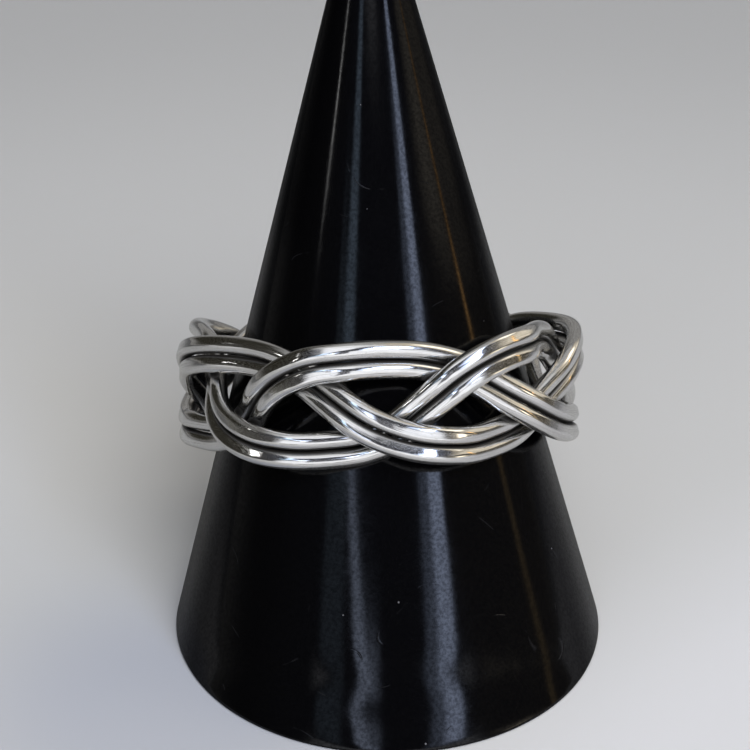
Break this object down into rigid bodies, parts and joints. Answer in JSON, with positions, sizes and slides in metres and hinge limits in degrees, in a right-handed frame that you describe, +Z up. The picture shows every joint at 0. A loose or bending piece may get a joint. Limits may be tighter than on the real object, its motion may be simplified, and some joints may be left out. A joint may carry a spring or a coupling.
{
  "type": "braided band ring on a cone ring stand",
  "caption": "Polished silver band ring braided from doubled round wire, seated on a plain glossy black display cone that leans back on a flat foot.",
  "frame": {"origin": "on the stand's flat base, where the cone's axis meets the table", "axes": "+Z up, -Y towards the viewer, +X to the viewer's right; the cone leans back towards +Y"},
  "size_m": [0.0252, 0.0316, 0.0386],
  "materials": {
    "silver": "mirror-polished sterling silver with fine handling marks",
    "black_plastic": "glossy black moulded plastic with fine scratches and dust"
  },
  "bodies": {
    "root": {"upper_wire": "silver", "lower_wire": "silver", "cone_stand": "black_plastic"}
  },
  "joints": []
}
